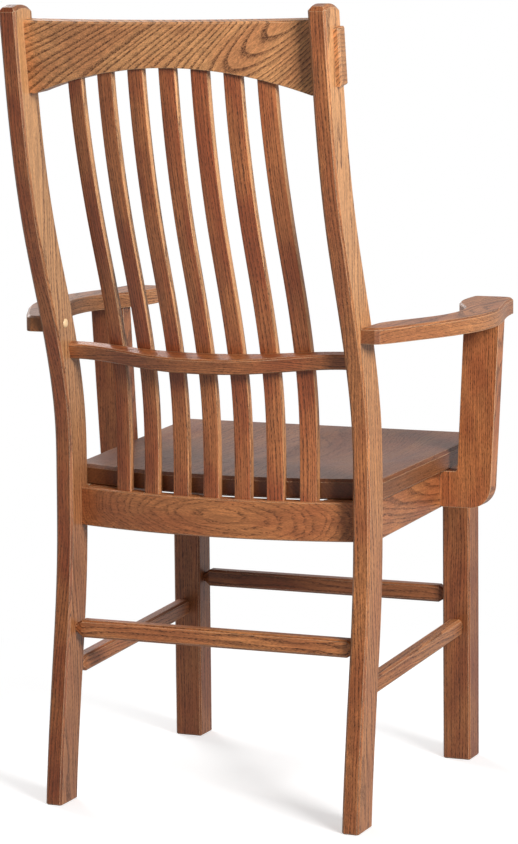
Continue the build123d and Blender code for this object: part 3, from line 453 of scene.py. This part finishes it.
def slat_shapes(count):
    """The CAD slats' back faces by height: the middle slat's curve and how far the row bows behind it."""
    nodes = [f"back_slat_{place}" for place in range(1, count + 1)]
    trees = []
    for node in nodes:
        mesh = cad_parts[node].data
        polygons = [tuple(polygon.vertices) for polygon in mesh.polygons]
        trees.append(BVHTree.FromPolygons([vertex.co for vertex in mesh.vertices], polygons))
    boxes = [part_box(node) for node in nodes]
    centres = [(low.x + high.x) / 2 for low, high in boxes]
    tops = [high.z for low, high in boxes]
    middle = count // 2
    foot = boxes[middle][0].z

    def back_at(index, x, z):
        return trees[index].ray_cast(Vector((x, 1, z)), Vector((0, -1, 0)))[0].y

    # The rays keep clear of the slats' slanting ends
    samples = 20
    above_foot, below_top, below_side_top = 0.5 * MM, 3.5 * MM, 3 * MM
    lowest, highest = foot + above_foot, tops[middle] - below_top
    curve, bows = [], []
    for step in range(samples + 1):
        z = lowest + (highest - lowest) * step / samples
        curve.append((z, back_at(middle, centres[middle], z)))
        level = min(z, tops[0] - below_side_top)
        fall = back_at(middle, centres[middle], level) - back_at(0, centres[0], level)
        bows.append((z, fall / (centres[0] - centres[middle]) ** 2))
    mid_height = (foot + tops[middle]) / 2
    spread = 8 * MM
    turn = (back_at(0, centres[0] + spread, mid_height) - back_at(0, centres[0] - spread, mid_height)) / (2 * spread)
    return {
        "Pitch": centres[1] - centres[0], "Foot": foot, "Top": tops[middle],
        "Arch": (tops[middle] - tops[0]) / centres[0] ** 2, "Turn": turn / centres[0],
    }, curve, bows


def slat_row_tree(sizes, tables, material):
    """Geometry Nodes: straight eased sticks on a row of points, each bent to the back's curve."""
    tree = bpy.data.node_groups.new("slat row", "GeometryNodeTree")
    sockets = {}
    for name in ("Count", "Pitch", "Width", "Thickness", "Easing", "Foot", "Top", "Arch", "Turn"):
        kind = "NodeSocketInt" if name == "Count" else "NodeSocketFloat"
        sockets[name] = tree.interface.new_socket(name, in_out="INPUT", socket_type=kind).identifier
    tree.interface.new_socket("Geometry", in_out="OUTPUT", socket_type="NodeSocketGeometry")
    given = add_node(tree, "NodeGroupInput").outputs
    where = add_node(tree, "GeometryNodeInputPosition")
    number = add_node(tree, "GeometryNodeInputIndex")
    centre = add_node(tree, "GeometryNodeInputNamedAttribute", {"data_type": "FLOAT_VECTOR"}, {"Name": "centre"})
    order = add_node(tree, "GeometryNodeInputNamedAttribute", {"data_type": "FLOAT"}, {"Name": "order"})
    here = add_node(tree, "ShaderNodeSeparateXYZ", None, {0: where}).outputs

    # The back's curve and the row's bow, looked up by the share of the height
    lookups, ranges = [], []
    for table in tables:
        low, high = min(value for z, value in table), max(value for z, value in table)
        lookup = add_node(tree, "ShaderNodeFloatCurve")
        points = lookup.mapping.curves[0].points
        places = [((z - sizes["Foot"]) / (sizes["Top"] - sizes["Foot"]), (value - low) / (high - low))
                  for z, value in table]
        points[0].location, points[1].location = places[0], places[-1]
        for place in places[1:-1]:
            points.new(*place)
        lookup.mapping.update()
        lookups.append(lookup)
        ranges.append((high - low, low))

    # Bending: height first, then the back's curve, the bow of the row and the slat's turn. The place on the
    # unbent stick is kept for its grain, each stick from another part of the plank.
    known = {name: given[name] for name in sockets}
    known.update({
        "x": here["X"], "y": here["Y"], "z": here["Z"], "order": order, "curve": lookups[0], "bow": lookups[1],
        "middle": add_node(tree, "ShaderNodeSeparateXYZ", None, {0: centre}).outputs["X"],
    })
    for name, operation, *terms in (
        ("gaps", "SUBTRACT", "Count", 1), ("half", "MULTIPLY", "gaps", -0.5), ("start", "MULTIPLY", "half", "Pitch"),
        ("local", "SUBTRACT", "x", "middle"), ("square", "MULTIPLY", "middle", "middle"),
        ("fall", "MULTIPLY", "Arch", -1), ("top", "MULTIPLY_ADD", "square", "fall", "Top"),
        ("length", "SUBTRACT", "top", "Foot"), ("rise", "MULTIPLY_ADD", "z", "length", "Foot"),
        ("above", "SUBTRACT", "rise", "Foot"), ("full", "SUBTRACT", "Top", "Foot"),
        ("share", "DIVIDE", "above", "full"),
        ("back", "MULTIPLY_ADD", "curve", *ranges[0]), ("bowed", "MULTIPLY_ADD", "bow", *ranges[1]),
        ("behind", "MULTIPLY", "bowed", "square"), ("face", "SUBTRACT", "back", "behind"),
        ("facing", "MULTIPLY", "Turn", "middle"), ("turned", "MULTIPLY", "local", "facing"),
        ("sunk", "MULTIPLY_ADD", "Thickness", -0.5, "y"), ("set back", "ADD", "face", "sunk"),
        ("bent y", "ADD", "set back", "turned"),
        ("plank x", "MULTIPLY_ADD", "order", 0.017, "local"), ("plank z", "MULTIPLY_ADD", "order", 0.71, "rise"),
    ):
        terms = {place: known.get(term, term) for place, term in enumerate(terms)}
        known[name] = add_node(tree, "ShaderNodeMath", {"operation": operation}, terms)
    for lookup in lookups:
        tree.links.new(known["share"].outputs[0], lookup.inputs["Value"])
    offset, start, plank, bent = (
        add_node(tree, "ShaderNodeCombineXYZ", None, parts)
        for parts in ({"X": given["Pitch"]}, {"X": known["start"]},
                      {"X": known["plank x"], "Y": here["Y"], "Z": known["plank z"]},
                      {"X": here["X"], "Y": known["bent y"], "Z": known["rise"]})
    )

    # The stick: a rounded rectangle carried up a straight line one metre tall
    line = add_node(tree, "GeometryNodeCurvePrimitiveLine", None, {"End": (0, 0, 1)})
    steps = add_node(tree, "GeometryNodeResampleCurve", None, {"Count": 56, "Curve": line})
    section = add_node(tree, "GeometryNodeCurvePrimitiveQuadrilateral", None,
                       {"Width": given["Width"], "Height": given["Thickness"]})
    eased = add_node(tree, "GeometryNodeFilletCurve", {"mode": "POLY"},
                     {"Count": 3, "Limit Radius": True, "Curve": section, "Radius": given["Easing"]})
    stick = add_node(tree, "GeometryNodeCurveToMesh", None, {"Fill Caps": True, "Curve": steps, "Profile Curve": eased})
    row = add_node(tree, "GeometryNodeMeshLine", {"mode": "OFFSET"},
                   {"Count": given["Count"], "Offset": offset, "Start Location": start})
    for name, kind, value in (("centre", "FLOAT_VECTOR", where), ("order", "FLOAT", number)):
        row = add_node(tree, "GeometryNodeStoreNamedAttribute", {"data_type": kind, "domain": "POINT"},
                       {"Name": name, "Geometry": row, "Value": value})
    sticks = add_node(tree, "GeometryNodeInstanceOnPoints", None, {"Points": row, "Instance": stick})
    real = add_node(tree, "GeometryNodeRealizeInstances", None, {"Geometry": sticks})
    board = add_node(tree, "GeometryNodeStoreNamedAttribute", {"data_type": "FLOAT_VECTOR", "domain": "POINT"},
                     {"Name": "board", "Geometry": real, "Value": plank})
    placed = add_node(tree, "GeometryNodeSetPosition", None, {"Geometry": board, "Position": bent})
    coated = add_node(tree, "GeometryNodeSetMaterial", None, {"Material": material, "Geometry": placed})
    add_node(tree, "NodeGroupOutput", None, {"Geometry": coated})
    return tree, sockets


def made_plain(name, tree, sockets, values, material, start=None):
    """The tree's result as a plain mesh object, its inputs set by the sockets' identifiers."""
    holder = bpy.data.objects.new(name, start or bpy.data.meshes.new(name))
    bpy.context.scene.collection.objects.link(holder)
    modifier = holder.modifiers.new("form", "NODES")
    modifier.node_group = tree
    for socket, value in values.items():
        modifier[sockets[socket]] = value
    graph = bpy.context.evaluated_depsgraph_get()
    mesh = bpy.data.meshes.new_from_object(holder.evaluated_get(graph), depsgraph=graph)
    holder.modifiers.remove(modifier)
    holder.data = mesh
    mesh.name = name
    if not mesh.polygons:
        raise RuntimeError(f"{name} came out empty")
    finish(holder, material)
    return holder


class ARMCHAIR_OT_slats(Operator):
    """Bend the row of slats to the back's curve, with eased edges"""

    bl_idname = "armchair.slats"
    bl_label = "Slats"

    def execute(self, context):
        slats = context.scene.armchair_slats
        sizes, *tables = slat_shapes(slats.count)
        material = oak_board("slats", **SLATS)
        tree, sockets = slat_row_tree(sizes, tables, material)
        values = {"Count": slats.count, "Width": slats.width, "Thickness": slats.thickness, "Easing": slats.easing}
        row = made_plain("oak_slats", tree, sockets, values | sizes, material)
        for polygon in row.data.polygons:
            polygon.use_smooth = True
        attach(row, "root")
        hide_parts(*[f"back_slat_{place}" for place in range(1, slats.count + 1)])
        return {"FINISHED"}


def beech():
    """Turned beech, unstained under its lacquer: pale, closed grained, with short darker flecks."""
    material, tree = blank_material("lacquered beech")
    place = add_node(tree, "ShaderNodeTexCoord").outputs["Object"]
    # Flecks of about 3 by 0.4 mm, along the grain, which follows the arm screw
    along, across = 3 * MM, 0.4 * MM
    scaled = add_node(tree, "ShaderNodeVectorMath", TIMES, {0: place, 1: (1 / along, 1 / across, 1 / across)})
    flecks = add_node(tree, "ShaderNodeTexNoise", None, {"Scale": 1.0, "Detail": 2.0, "Vector": scaled})
    tone = add_node(tree, "ShaderNodeMix", COLOURS, {0: flecks, FIRST: linear("#efd3a8"), SECOND: linear("#d3ab7c")})
    shader = add_node(tree, "ShaderNodeBsdfPrincipled", None, {"Roughness": 0.35, "Base Color": tone.outputs[MIXED]})
    add_node(tree, "ShaderNodeOutputMaterial", None, {"Surface": shader})
    return material


def zinc_steel():
    """Mild steel wood screws, zinc plated: grey, softly shining, faintly mottled by the plating."""
    material, tree = blank_material("zinc plated steel")
    place = add_node(tree, "ShaderNodeTexCoord").outputs["Object"]
    mottle = add_node(tree, "ShaderNodeTexNoise", None, {"Scale": 1 / (1.5 * MM), "Detail": 3.0, "Vector": place})
    tone = add_node(tree, "ShaderNodeMix", COLOURS, {0: mottle, FIRST: linear("#8d9092"), SECOND: linear("#b4b6b6")})
    rough = add_node(tree, "ShaderNodeMapRange", None, {"To Min": 0.28, "To Max": 0.48, "Value": mottle})
    shader = add_node(tree, "ShaderNodeBsdfPrincipled", None,
                      {"Metallic": 1.0, "Base Color": tone.outputs[MIXED], "Roughness": rough})
    add_node(tree, "ShaderNodeOutputMaterial", None, {"Surface": shader})
    return material


def screw_places(node):
    """The outer middle of each CAD screw's head, the way its point looks, and the screws' length."""
    shape = bmesh.new()
    shape.from_mesh(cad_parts[node].data)
    bmesh.ops.remove_doubles(shape, verts=shape.verts, dist=0.01 * MM)
    left = set(shape.verts)
    places = []
    length = 0
    while left:
        reached = [left.pop()]
        for vertex in reached:
            for edge in vertex.link_edges:
                other = edge.other_vert(vertex)
                if other in left:
                    left.remove(other)
                    reached.append(other)
        longest = max({edge for vertex in reached for edge in vertex.link_edges}, key=lambda edge: edge.calc_length())
        along = (longest.verts[1].co - longest.verts[0].co).normalized()
        middle = sum((vertex.co for vertex in reached), Vector()) / len(reached)
        runs = [(vertex.co - middle).dot(along) for vertex in reached]
        widths = [((vertex.co - middle) - along * run).length for vertex, run in zip(reached, runs)]
        if runs[widths.index(max(widths))] > 0:
            along = -along
            runs = [-run for run in runs]
        places.append((middle + along * min(runs), along))
        length = max(runs) - min(runs)
    shape.free()
    return places, length


# Sizes of a wood screw that its settings don't give
HEAD_HEIGHT = 3 * MM
POINT_LENGTH = 5 * MM
RECESS = (4.4 * MM, 0.9 * MM, 3 * MM)


def screw_tree(material):
    """Geometry Nodes: a countersunk wood screw with a cross recess and a spiral thread, on every point."""
    tree = bpy.data.node_groups.new("wood screws", "GeometryNodeTree")
    tree.interface.new_socket("Geometry", in_out="INPUT", socket_type="NodeSocketGeometry")
    sockets = {}
    for name in ("Length", "Head", "Shank", "Pitch"):
        sockets[name] = tree.interface.new_socket(name, in_out="INPUT", socket_type="NodeSocketFloat").identifier
    tree.interface.new_socket("Geometry", in_out="OUTPUT", socket_type="NodeSocketGeometry")
    given = add_node(tree, "NodeGroupInput").outputs

    # Lengths and radii from the settings: the spiral takes the lower 62 percent of the shank
    known = {name: given[name] for name in sockets}
    for name, operation, *terms in (
        ("head radius", "MULTIPLY", "Head", 0.5), ("shank radius", "MULTIPLY", "Shank", 0.4),
        ("core radius", "MULTIPLY", "Shank", 0.38), ("ridge", "MULTIPLY", "Shank", 0.1),
        ("body", "SUBTRACT", "Length", HEAD_HEIGHT + POINT_LENGTH), ("tip", "SUBTRACT", "Length", POINT_LENGTH),
        ("threaded", "MULTIPLY", "body", 0.62), ("turns", "DIVIDE", "threaded", "Pitch"),
        ("thread start", "SUBTRACT", "tip", "threaded"),
    ):
        terms = {place: known.get(term, term) for place, term in enumerate(terms)}
        known[name] = add_node(tree, "ShaderNodeMath", {"operation": operation}, terms)

    head = add_node(tree, "GeometryNodeMeshCone", None, {
        "Vertices": 32, "Depth": HEAD_HEIGHT,
        "Radius Bottom": known["head radius"], "Radius Top": known["shank radius"],
    })
    recessed = add_node(tree, "GeometryNodeMeshBoolean", {"operation": "DIFFERENCE", "solver": "EXACT"},
                        {"Mesh 1": head.outputs["Mesh"]})
    long, narrow, deep = RECESS
    for size in ((long, narrow, deep), (narrow, long, deep)):
        cut = add_node(tree, "GeometryNodeMeshCube", None, {"Size": size})
        tree.links.new(cut.outputs["Mesh"], recessed.inputs["Mesh 2"])
    core = add_node(tree, "GeometryNodeMeshCone", None, {
        "Vertices": 20, "Radius Bottom": known["core radius"], "Radius Top": known["core radius"],
        "Depth": known["body"],
    })
    tip = add_node(tree, "GeometryNodeMeshCone", None, {
        "Vertices": 20, "Radius Top": 0.0, "Depth": POINT_LENGTH, "Radius Bottom": known["core radius"],
    })
    spiral = add_node(tree, "GeometryNodeCurveSpiral", None, {
        "Resolution": 20, "Rotations": known["turns"], "Start Radius": known["shank radius"],
        "End Radius": known["shank radius"], "Height": known["threaded"],
    })
    ridge = add_node(tree, "GeometryNodeCurvePrimitiveCircle", {"mode": "RADIUS"},
                     {"Resolution": 4, "Radius": known["ridge"]})
    wound = add_node(tree, "GeometryNodeCurveToMesh", None,
                     {"Fill Caps": True, "Curve": spiral.outputs["Curve"], "Profile Curve": ridge.outputs["Curve"]})
    screw = add_node(tree, "GeometryNodeJoinGeometry")
    tree.links.new(recessed.outputs["Mesh"], screw.inputs[0])
    for part, height in ((core, HEAD_HEIGHT), (tip, known["tip"]), (wound, known["thread start"])):
        place = add_node(tree, "ShaderNodeCombineXYZ", None, {"Z": height})
        moved = add_node(tree, "GeometryNodeTransform", None,
                         {"Geometry": part.outputs["Mesh"], "Translation": place})
        tree.links.new(moved.outputs[0], screw.inputs[0])
    along = add_node(tree, "GeometryNodeInputNamedAttribute", {"data_type": "FLOAT_VECTOR"}, {"Name": "along"})
    turned = add_node(tree, "FunctionNodeAlignRotationToVector", {"axis": "Z"}, {"Vector": along})
    screws = add_node(tree, "GeometryNodeInstanceOnPoints", None,
                      {"Points": given["Geometry"], "Instance": screw, "Rotation": turned})
    real = add_node(tree, "GeometryNodeRealizeInstances", None, {"Geometry": screws})
    coated = add_node(tree, "GeometryNodeSetMaterial", None, {"Material": material, "Geometry": real})
    add_node(tree, "NodeGroupOutput", None, {"Geometry": coated})
    return tree, sockets


class ARMCHAIR_OT_screws(Operator):
    """Put a zinc plated wood screw on every seat of the CAD's screws"""

    bl_idname = "armchair.screws"
    bl_label = "Screws"

    def execute(self, context):
        sizes = context.scene.armchair_fittings
        material = zinc_steel()
        tree, sockets = screw_tree(material)
        for node in ("seat_screws", "corner_block_screws", "arm_post_screws", "arm_screws"):
            places, length = screw_places(node)
            points = bpy.data.meshes.new(node)
            points.from_pydata([tuple(place) for place, along in places], [], [])
            looks = points.attributes.new("along", "FLOAT_VECTOR", "POINT")
            for item, (place, along) in zip(looks.data, places):
                item.vector = along
            values = {
                "Length": length, "Head": sizes.head_diameter, "Shank": sizes.shank_diameter, "Pitch": sizes.pitch,
            }
            screws = made_plain(f"steel_{node}", tree, sockets, values, material, points)
            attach(screws, "root")
            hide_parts(node)
        return {"FINISHED"}


# The button's pin in its bore, and how deep the rim and its root sit in the post
PIN_RADIUS = 5 * MM
PIN_DEPTH = 6 * MM
RIM_DEPTH, ROOT_DEPTH = 0.2 * MM, 0.4 * MM


class ARMCHAIR_OT_buttons(Operator):
    """Turn the domed buttons that hide the arm screws on the posts' inner faces"""

    bl_idname = "armchair.buttons"
    bl_label = "Buttons"

    def execute(self, context):
        sizes = context.scene.armchair_fittings
        radius, rise = sizes.button_diameter / 2, sizes.button_rise
        rings, sides = 8, 48
        outline = [(0.0, -rise)]
        for step in range(1, rings + 1):
            turn = math.pi / 2 * step / rings
            outline.append((radius * math.sin(turn), -rise * math.cos(turn)))
        outline += [(radius, RIM_DEPTH), (PIN_RADIUS, ROOT_DEPTH), (PIN_RADIUS, PIN_DEPTH), (0.0, PIN_DEPTH)]
        material = beech()
        for sign, side in SIDES:
            node = f"arm_plug_{side}"
            low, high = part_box(node)
            inner = min(abs(corner.x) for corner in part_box(f"rear_post_{side}"))
            mesh = turned_mesh(f"oak_{node}", outline, sides)
            centre = Vector((sign * inner, (low.y + high.y) / 2, (low.z + high.z) / 2))
            for vertex in mesh.vertices:
                x, y, z = vertex.co
                vertex.co = centre + Vector((sign * z, sign * x, y))
            button = bpy.data.objects.new(f"oak_{node}", mesh)
            context.scene.collection.objects.link(button)
            finish(button, material)
            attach(button, "root")
            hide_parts(node)
        return {"FINISHED"}


def by_ray(tree, seen, mirrored, other):
    """One shader for the camera, one for mirrored and transmitted rays and one for all other light."""
    path = add_node(tree, "ShaderNodeLightPath").outputs
    for ray, shader in (("Is Glossy Ray", mirrored), ("Is Transmission Ray", mirrored), ("Is Camera Ray", seen)):
        other = add_node(tree, "ShaderNodeMixShader", None, {0: path[ray], 1: other, 2: shader})
    return other


def studio_paper():
    """White seamless paper, matt: it keeps the chair's shadow near the feet and is blank white further out."""
    material, tree = blank_material("white seamless paper")
    place = add_node(tree, "ShaderNodeTexCoord").outputs["Object"]
    reach = add_node(tree, "ShaderNodeVectorMath", {"operation": "LENGTH"}, {0: place}).outputs["Value"]
    outer = add_node(tree, "ShaderNodeMapRange", SMOOTH, {"From Min": 0.45, "From Max": 1.1, "Value": reach})
    paper, bounce = (add_node(tree, "ShaderNodeBsdfDiffuse", None, {"Color": linear(white)})
                     for white in ("#f2f2f2", "#b8b8b8"))
    glow, far, mirrored = (add_node(tree, "ShaderNodeEmission", None, {"Strength": strength})
                           for strength in (0.42, 1.0, 0.6))
    near = add_node(tree, "ShaderNodeAddShader", None, {0: paper, 1: glow})
    seen = add_node(tree, "ShaderNodeMixShader", None, {0: outer, 1: near, 2: far})
    add_node(tree, "ShaderNodeOutputMaterial", None, {"Surface": by_ray(tree, seen, mirrored, bounce)})
    return material


def studio_room():
    """The world: a white backdrop behind the chair as photographed, and a dim room on the other side."""
    world = bpy.data.worlds.new("studio")
    world.use_nodes = True
    tree = world.node_tree
    tree.nodes.clear()
    towards = add_node(tree, "ShaderNodeTexCoord").outputs["Generated"]
    y = add_node(tree, "ShaderNodeSeparateXYZ", None, {0: towards}).outputs["Y"]
    backdrop = add_node(tree, "ShaderNodeMapRange", SMOOTH,
                        {"From Min": 0.4, "From Max": -0.5, "To Min": 0.12, "To Max": 0.5, "Value": y})
    white, mirrored, room = (
        add_node(tree, "ShaderNodeBackground", None, {"Color": (1, 1, 1, 1), "Strength": strength})
        for strength in (1.0, backdrop, 0.28)
    )
    add_node(tree, "ShaderNodeOutputWorld", None, {"Surface": by_ray(tree, white, mirrored, room)})
    return world


# Soft lamps: place, aim, size in m, spread in degrees and power in W
LAMPS = {
    "key": ((-3.35, 2.2, 2.5), (0, 0, 1.1), 1.5, 60, 30),
    "front": ((3.0, -2.4, 2.8), (0, 0, 0.5), 2.2, 180, 105),
}
FLOOR_REACH = 30.0


class ARMCHAIR_OT_stage(Operator):
    """Build the white floor, the soft studio light and the camera"""

    bl_idname = "armchair.stage"
    bl_label = "Stage"

    def execute(self, context):
        scene = context.scene
        scene.view_settings.view_transform = "Standard"
        scene.world = studio_room()
        mesh = bpy.data.meshes.new("floor")
        corners = [(x * FLOOR_REACH, y * FLOOR_REACH, 0) for x, y in ((-1, -1), (1, -1), (1, 1), (-1, 1))]
        mesh.from_pydata(corners, [], [(0, 1, 2, 3)])
        floor = bpy.data.objects.new("floor", mesh)
        scene.collection.objects.link(floor)
        finish(floor, studio_paper())
        for name, (place, aim, size, spread, power) in LAMPS.items():
            data = bpy.data.lights.new(name, "AREA")
            data.size = size
            data.energy = power
            data.spread = math.radians(spread)
            lamp = bpy.data.objects.new(name, data)
            lamp.location = place
            lamp.rotation_euler = (Vector(aim) - Vector(place)).to_track_quat("-Z", "Y").to_euler()
            scene.collection.objects.link(lamp)
        view = scene.armchair_camera
        azimuth, pitch, roll = (math.radians(angle) for angle in (view.azimuth, view.pitch, view.roll))
        ahead = Vector((math.sin(azimuth) * math.cos(pitch), -math.cos(azimuth) * math.cos(pitch), -math.sin(pitch)))
        right = Vector((-math.cos(azimuth), -math.sin(azimuth), 0))
        up = right.cross(ahead)
        rolled_right = right * math.cos(roll) + up * math.sin(roll)
        rolled_up = up * math.cos(roll) - right * math.sin(roll)
        data = bpy.data.cameras.new("camera")
        data.sensor_width = 36.0
        data.lens = view.focal_pixels / PHOTO_HEIGHT * data.sensor_width
        data.shift_y = view.shift
        camera = bpy.data.objects.new("camera", data)
        scene.collection.objects.link(camera)
        basis = Matrix((rolled_right, rolled_up, -ahead)).transposed().to_4x4()
        camera.matrix_world = Matrix.Translation(Vector(view.place)) @ basis
        scene.camera = camera
        return {"FINISHED"}


class ARMCHAIR_PT_sidebar(Panel):
    """Lists the armchair's steps and settings"""

    bl_label = "Mission Dining Armchair"
    bl_idname = "ARMCHAIR_PT_sidebar"
    bl_space_type = "VIEW_3D"
    bl_region_type = "UI"
    bl_category = "Armchair"

    def draw(self, context):
        for step in STEPS:
            self.layout.operator(step.bl_idname)
        for name, group in SETTINGS.items():
            for setting in group.__annotations__:
                self.layout.prop(getattr(context.scene, name), setting)


STEPS = (ARMCHAIR_OT_boards, ARMCHAIR_OT_slats, ARMCHAIR_OT_buttons, ARMCHAIR_OT_screws, ARMCHAIR_OT_stage)
SETTINGS = {
    "armchair_oak": OakSettings, "armchair_slats": SlatSettings, "armchair_fittings": FittingSettings,
    "armchair_camera": CameraSettings,
}


def register():
    for cls in (*SETTINGS.values(), *STEPS, ARMCHAIR_PT_sidebar):
        bpy.utils.register_class(cls)
    for name, cls in SETTINGS.items():
        setattr(bpy.types.Scene, name, PointerProperty(type=cls))


def unregister():
    for name in SETTINGS:
        delattr(bpy.types.Scene, name)
    for cls in reversed((*SETTINGS.values(), *STEPS, ARMCHAIR_PT_sidebar)):
        bpy.utils.unregister_class(cls)


def main():
    register()
    bpy.ops.armchair.boards()
    bpy.ops.armchair.slats()
    bpy.ops.armchair.buttons()
    bpy.ops.armchair.screws()
    bpy.ops.armchair.stage()


if __name__ == "__main__":
    main()
